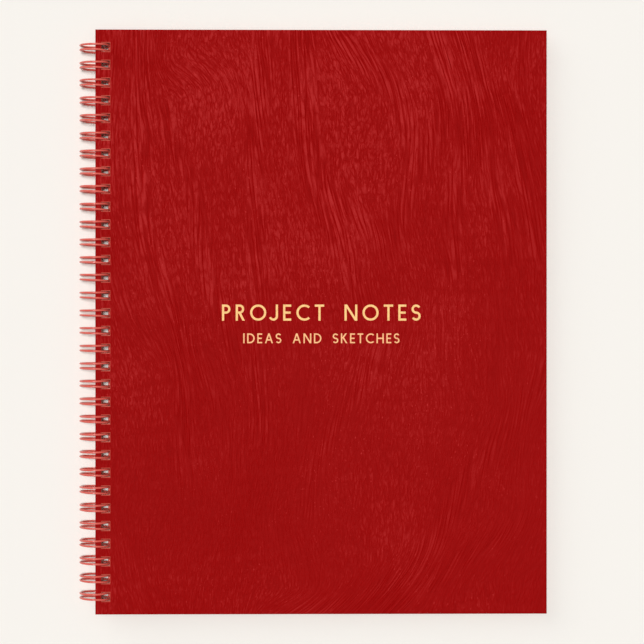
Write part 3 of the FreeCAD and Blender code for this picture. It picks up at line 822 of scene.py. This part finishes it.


# Grain is noise on the combed measures, squeezed across the grain and drawn out along it: short
# between the bundles, long in them. The relief is also painted into the colour: painted shade in the creases,
# a painted highlight on the tops.
def leatherMaterial():
    look = leatherLook
    material, tree, surface = newMaterial("redCreasedLeather")
    combed = attribute(tree, "combed", "Vector")
    bundle = attribute(tree, "bundle", "Fac")
    bold = attribute(tree, "boldness", "Fac")
    place = placeInMm(tree)

    def drawn(key, detail):
        spacing, length = look[key]
        stretched = vectorMath(tree, "MULTIPLY", combed, (1 / spacing, 1 / length, 1))
        return noise(tree, stretched, 1.0, detail)

    # a thin valley wherever the noise passes its middle value, and a level top beside it
    def valleys(value):
        width, bluntness = look["valley"]
        return math2(tree, "POWER", remap(tree, awayFrom(tree, value, 0.5), 0.0, width), bluntness)

    def share(a, b, shareOfA):
        return plus(tree, times(tree, a, shareOfA), times(tree, b, 1 - shareOfA))

    plain = valleys(noise(tree, vectorMath(tree, "DIVIDE", place, (*look["plain"], 1.0)), 1.0, 1.0))
    grain = valleys(drawn("grain", 1.0))
    grain = share(grain, math2(tree, "MINIMUM", grain, plain), look["combedShare"])
    wrinkles = valleys(drawn("wrinkles", 1.0))
    creases = valleys(drawn("creases", 0.5))
    hair = drawn("hair", 2.0)
    pores = noise(tree, place, 3.2, 2.0)
    broad = noise(tree, place, 0.025, 2.0, 0.5)
    glints = times(tree, remap(tree, drawn("glints", 1.0), 0.66, 0.80),
                   remap(tree, noise(tree, place, 0.045, 1.0), 0.42, 0.62))

    inBundle = remap(tree, bundle, 0.05, 0.65)
    main = plus(tree, times(tree, creases, inBundle), times(tree, grain, minus(tree, 1.0, inBundle)))
    relief = share(share(main, wrinkles, look["mainShare"]), hair, look["ridgeShare"])
    outside, added = look["bundleBold"]
    strength = times(tree, bold, plus(tree, times(tree, inBundle, added), outside))
    centred = times(tree, minus(tree, relief, remap(tree, inBundle, 0.0, 1.0, *look["level"])), strength)

    # Painted highlight: the tone is lifted where the grain is bold, most at the head, least at the foot and
    # fore-edge.
    boldHighlight = remap(tree, bold, 0.55, 1.1, *look["boldHighlight"])
    # Painted shade and highlight: the relief darkens the tone in its creases and lightens it on its tops.
    tone = plus(tree, times(tree, centred, look["reliefShadeAndHighlight"]), boldHighlight)
    for part in (swing(tree, pores, look["poreTone"]), swing(tree, broad, look["broadTone"]),
                 times(tree, glints, look["glintTone"])):
        tone = plus(tree, tone, part)
    # The ramp runs from painted crease shade through the plain leather to a painted highlight with lifted
    # green and blue.
    colour = ramp(tree, tone, look["creaseShadeToHighlight"])

    ragged = plus(tree, holeDistance(tree, look["spineStrip"]), swing(tree, pores, 0.25))
    cut = remap(tree, ragged, *look["cutWidth"])
    colour = mixColours(tree, times(tree, cut, look["cutCover"]), colour, look["cutEdge"])
    shine = remap(tree, tone, 0.1, 0.9, *look["roughness"])
    dress(tree, surface, {
        "Base Color": colour,
        "Roughness": plus(tree, shine, times(tree, cut, look["cutDull"]), clamp=True),
        "Specular IOR Level": look["specular"],
        "Normal": bump(tree, pores, look["poreDepth"], 1.0, bump(tree, centred, look["reliefDepth"])),
    })
    return material


wireLook = {
    "coat": (0.78, 0.125, 0.095),
    "worn": (0.62, 0.080, 0.060),
    "wear": 0.55,
    "roughness": 0.27,
    "wornDull": 0.12,
    "gloss": (0.35, 0.15),        # the clear coat's weight and roughness
    "markDepth": 0.00002,
}


# A smooth nylon coat with faint flow marks, a little darker and duller in patches.
def wireMaterial():
    look = wireLook
    material, tree, surface = newMaterial("coralCoatedWire")
    place = placeInMm(tree)
    patches = remap(tree, noise(tree, place, 0.9, 3.0, 0.6), 0.35, 0.7)
    marks = noise(tree, place, 6.0, 2.0)
    colour = mixColours(tree, times(tree, patches, look["wear"]), look["coat"], look["worn"])
    dress(tree, surface, {
        "Base Color": colour,
        "Roughness": plus(tree, times(tree, patches, look["wornDull"]), look["roughness"]),
        "Coat Weight": look["gloss"][0],
        "Coat Roughness": look["gloss"][1],
        "Normal": bump(tree, marks, look["markDepth"], 0.6),
    })
    return material


pageLook = {
    "paper": (0.80, 0.77, 0.71),
    "shade": (0.70, 0.665, 0.60),
    "rule": (0.30, 0.40, 0.55),
    "margin": (0.62, 0.20, 0.20),
    "rubbed": (0.90, 0.36, 0.29),      # where the coated wire rubs the holes
    "ruleStep": 7.1,
    "ruleWidth": 0.22,
    "headSpace": 104.0,       # rules stop this far above the middle
    "marginFrom": 24.0,       # from the spine edge
    "ink": (0.55, 0.6, 0.75),        # cover of the rules, the margin and the rubbed holes
    "roughness": (0.82, 0.95),
    "specular": 0.2,
    "fibreDepth": 0.00002,
}


# Off-white paper with fibres; rules every few mm on both faces and one margin rule. Round the
# holes it has taken a little of the wire's colour.
def pageMaterial():
    look = pageLook
    ruleInk, marginInk, rubbing = look["ink"]
    material, tree, surface = newMaterial("writingPaper")
    place = placeInMm(tree)
    x, y, z = axisParts(tree, place)
    tone = attribute(tree, "tone", "Fac")
    fibres = noise(tree, vectorMath(tree, "MULTIPLY", place, (1.0, 0.35, 6.0)), 2.4, 4.0, 0.6)
    cloud = noise(tree, place, 0.12, 3.0)
    shade = plus(tree, times(tree, fibres, 0.35), times(tree, cloud, 0.25))
    shade = plus(tree, shade, times(tree, tone, 0.30))
    colour = mixColours(tree, shade, look["paper"], look["shade"])

    normal = tree.nodes.new("ShaderNodeNewGeometry").outputs["Normal"]
    facing = math2(tree, "ABSOLUTE", axisParts(tree, normal)[2])
    flat = math2(tree, "GREATER_THAN", facing, 0.7)

    def line(distance):
        return times(tree, remap(tree, distance, look["ruleWidth"], look["ruleWidth"] * 0.5), flat)

    step = look["ruleStep"]
    ruled = line(awayFrom(tree, math2(tree, "WRAP", y, step, 0.0), step / 2))
    ruled = times(tree, ruled, math2(tree, "LESS_THAN", y, look["headSpace"]))
    margin = line(awayFrom(tree, x, leaf["spineEdge"] + look["marginFrom"] + axisPoint[0] * 1000))
    inHole = remap(tree, holeDistance(tree), 0.12, 0.02)
    marks = ((ruled, ruleInk, "rule"), (margin, marginInk, "margin"), (inHole, rubbing, "rubbed"))
    for cover, ink, tint in marks:
        colour = mixColours(tree, times(tree, cover, ink), colour, look[tint])
    dress(tree, surface, {
        "Base Color": colour,
        "Roughness": remap(tree, fibres, 0.3, 0.7, *look["roughness"]),
        "Specular IOR Level": look["specular"],
        "Normal": bump(tree, fibres, look["fibreDepth"], 0.8),
    })
    return material


endpaperLook = {
    "paper": (0.70, 0.60, 0.46),
    "fibre": (0.56, 0.46, 0.33),
    "laidStep": 1.1,
    "chainStep": 25.0,
    "chainWidth": (0.6, 0.1),      # a chain line fades in between these, mm from its middle
    "wander": 1.6,
    "roughness": (0.8, 0.93),
    "specular": 0.25,
    "reliefDepth": 0.00003,
}


# Laid paper: close ribs along the spine, a wider chain line across them, and scattered fibres.
def endpaperMaterial():
    look = endpaperLook
    material, tree, surface = newMaterial("laidEndpaper")
    place = placeInMm(tree)
    x, y, z = axisParts(tree, place)
    wobble = times(tree, noise(tree, place, 0.05, 2.0), look["wander"])
    ribs = math2(tree, "SINE", times(tree, plus(tree, x, wobble), 2 * math.pi / look["laidStep"]))
    chainGap = math2(tree, "WRAP", plus(tree, y, wobble), look["chainStep"], 0.0)
    chain = remap(tree, awayFrom(tree, chainGap, look["chainStep"] / 2), *look["chainWidth"])
    drawnOut = vectorMath(tree, "MULTIPLY", place, (1.0, 0.25, 1.0))
    fibres = remap(tree, noise(tree, drawnOut, 1.7, 4.0, 0.65), 0.5, 0.75)
    relief = plus(tree, times(tree, ribs, 0.25), plus(tree, chain, fibres))
    shade = plus(tree, times(tree, fibres, 0.55), times(tree, relief, 0.16), clamp=True)
    dress(tree, surface, {
        "Base Color": mixColours(tree, shade, look["paper"], look["fibre"]),
        "Roughness": remap(tree, fibres, 0.0, 1.0, *look["roughness"]),
        "Specular IOR Level": look["specular"],
        "Normal": bump(tree, relief, look["reliefDepth"], 0.7),
    })
    return material


boardLook = {
    "pulp": (0.72, 0.240, 0.185),
    "fleck": (0.54, 0.140, 0.110),
    "roughness": (0.85, 0.97),
    "reliefDepth": 0.00006,
}


# Millboard: coral-dyed pulp with darker flecks, layered along its edge.
def boardMaterial():
    look = boardLook
    material, tree, surface = newMaterial("coralMillboard")
    place = vectorMath(tree, "MULTIPLY", objectPlace(tree), (1000, 1000, 4000))
    flecks = noise(tree, place, 1.8, 4.0, 0.7)
    dress(tree, surface, {
        "Base Color": mixColours(tree, remap(tree, flecks, 0.4, 0.7), look["pulp"], look["fleck"]),
        "Roughness": remap(tree, flecks, 0.3, 0.7, *look["roughness"]),
        "Normal": bump(tree, flecks, look["reliefDepth"], 0.8),
    })
    return material


foilLook = {
    "title": ((0.72, 0.440, 0.165), (0.62, 0.350, 0.120)),       # bright, dull
    "subtitle": ((0.72, 0.380, 0.170), (0.62, 0.300, 0.130)),    # pressed a little harder
    "roughness": 0.46,
    "grainDull": 0.2,
    "metallic": 0.3,
    "reliefDepth": 0.00006,
}


# Pressed foil: it takes up the hide's grain, and is dull where the pressing was light.
def foilMaterial(line):
    look = foilLook
    bright, dull = look[line]
    material, tree, surface = newMaterial(line + "GoldFoil")
    place = placeInMm(tree)
    grain = noise(tree, vectorMath(tree, "MULTIPLY", place, (1.0, 0.4, 1.0)), 1.5, 3.0, 0.6)
    worn = remap(tree, noise(tree, place, 0.7, 3.0, 0.6), 0.45, 0.75)
    dress(tree, surface, {
        "Base Color": mixColours(tree, worn, bright, dull),
        "Roughness": plus(tree, times(tree, grain, look["grainDull"]), look["roughness"]),
        "Metallic": look["metallic"],
        "Normal": bump(tree, grain, look["reliefDepth"], 0.8),
    })
    return material


# ---- pieces
leather = leatherMaterial()
wireCoat = wireMaterial()
page = pageMaterial()
laid = endpaperMaterial()
millboard = boardMaterial()
titleFoil = foilMaterial("title")
subtitleFoil = foilMaterial("subtitle")
print("materials made")


# The lettering's corners in the cover's own mm.
def letterBox(node):
    low, high = (np.array(corner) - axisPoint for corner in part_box(node))
    return (low[0] * 1000, low[1] * 1000), (high[0] * 1000, high[1] * 1000)


letterBoxes = [letterBox("title_foil"), letterBox("subtitle_foil")]
for prefix, side, lean, seed, boxes in (("front", 1, leaf["sheetLean"], 100, letterBoxes),
                                        ("back", -1, leaf["coverLean"], 300, [])):
    body = prefix + "_cover"
    comb = combHide(side < 0, seed)
    skin = wrapSkin(prefix + "Leather", side, lean, comb, seed, boxes)
    flaps = turnInFrame(prefix + "TurnIns", side, lean, comb, seed)
    for item in (skin, flaps):
        item.data.materials.append(leather)
        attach(item, body)
        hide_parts(body + "_leather")
    print(prefix, "cover leather made,", len(skin.data.polygons), "faces")

wire = makeWire()
wire.data.materials.append(wireCoat)
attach(wire, "wire")
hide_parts("wire_binding")
print("wire made,", len(wire.data.polygons), "faces")

sheetsPerBody = 15
for first in range(1, paper["count"] + 1, paper["perNode"]):
    node = f"sheets_{first:02d}_{first + paper['perNode'] - 1:02d}"
    bodyFirst = first - (first - 1) % sheetsPerBody
    stack = sheetStack(f"pages{first:02d}", first)
    stack.data.materials.append(page)
    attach(stack, f"leaves_{bodyFirst:02d}_{bodyFirst + sheetsPerBody - 1:02d}")
    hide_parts(node)
print("sheets made")

nodeLooks = {"_board": millboard, "_filler": millboard, "_endpaper": laid,
             "subtitle_foil": subtitleFoil, "title_foil": titleFoil}
for name, item in frame["nodes"].items():
    for ending, material in nodeLooks.items():
        if name.endswith(ending) and (ending[0] == "_" or name == ending):
            item.data.materials.clear()
            item.data.materials.append(material)

# ---- floor, light and camera
studio = {
    "floor": (0.885, 0.868, 0.840),
    "floorFleck": (0.8, 0.78, 0.75),
    "fleckCover": 0.06,
    "floorReach": 3.0,
    "floorDrop": 0.00004,      # just under the notebook, so the two don't share a plane
    "sky": (1.0, 0.985, 0.965),
    "skyStrength": 0.22,
    "lamps": {                 # strength, degrees across, tilt from overhead, degrees from +X to +Y
        "overheadSoftbox": (2.35, 11, 3, 100),
        "sideSoftbox": (0.55, 50, 56, 140),
    },
    "lampColour": (1.0, 0.985, 0.96),
    "cameraHeight": 1.02,
    "cameraAside": 0.0003,
    "viewWidth": 0.3078,     # across the view, at measureDepth under the cover's face
    "measureDepth": 0.0015,
    "sensor": 36,
}
floorMaterial, floorTree, floorSurface = newMaterial("studioPaper")
floorGrain = noise(floorTree, objectPlace(floorTree), 900.0, 3.0)
floorColour = mixColours(floorTree, times(floorTree, floorGrain, studio["fleckCover"]),
                         studio["floor"], studio["floorFleck"])
dress(floorTree, floorSurface, {
    "Base Color": floorColour,
    "Roughness": remap(floorTree, floorGrain, 0.3, 0.7, 0.85, 0.95),
    "Specular IOR Level": 0.1,
})
floorPoints = np.array([[-1, -1], [1, -1], [1, 1], [-1, 1]]) * studio["floorReach"]
floorPoints = np.column_stack([floorPoints, np.full(4, -studio["floorDrop"])])
floor = meshObject("studioFloor", floorPoints, [[0, 1, 2, 3]])
floor.data.materials.append(floorMaterial)

scene = bpy.context.scene
world = bpy.data.worlds.new("studioSky")
world.use_nodes = True
world.node_tree.nodes["Background"].inputs["Color"].default_value = (*studio["sky"], 1)
world.node_tree.nodes["Background"].inputs["Strength"].default_value = studio["skyStrength"]
scene.world = world

for name, (strength, size, tilt, heading) in studio["lamps"].items():
    lamp = bpy.data.lights.new(name, "SUN")
    lamp.energy = strength
    lamp.angle = math.radians(size)
    lamp.color = studio["lampColour"]
    lampObject = bpy.data.objects.new(name, lamp)
    lampObject.rotation_euler = (0, math.radians(-tilt), math.radians(heading - 180))
    scene.collection.objects.link(lampObject)

coverLow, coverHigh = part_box("front_cover_leather")
camera = bpy.data.cameras.new("overhead")
camera.sensor_width = studio["sensor"]
camera.lens = studio["sensor"] * studio["cameraHeight"] / studio["viewWidth"]
camera.clip_start = 0.01
cameraObject = bpy.data.objects.new("overhead", camera)
cameraObject.location = ((coverLow[0] + coverHigh[0]) / 2 + studio["cameraAside"], 0.0,
                         coverHigh[2] - studio["measureDepth"] + studio["cameraHeight"])
scene.collection.objects.link(cameraObject)
scene.camera = cameraObject
scene.view_settings.view_transform = "Standard"
scene.view_settings.look = "None"
print("studio set")
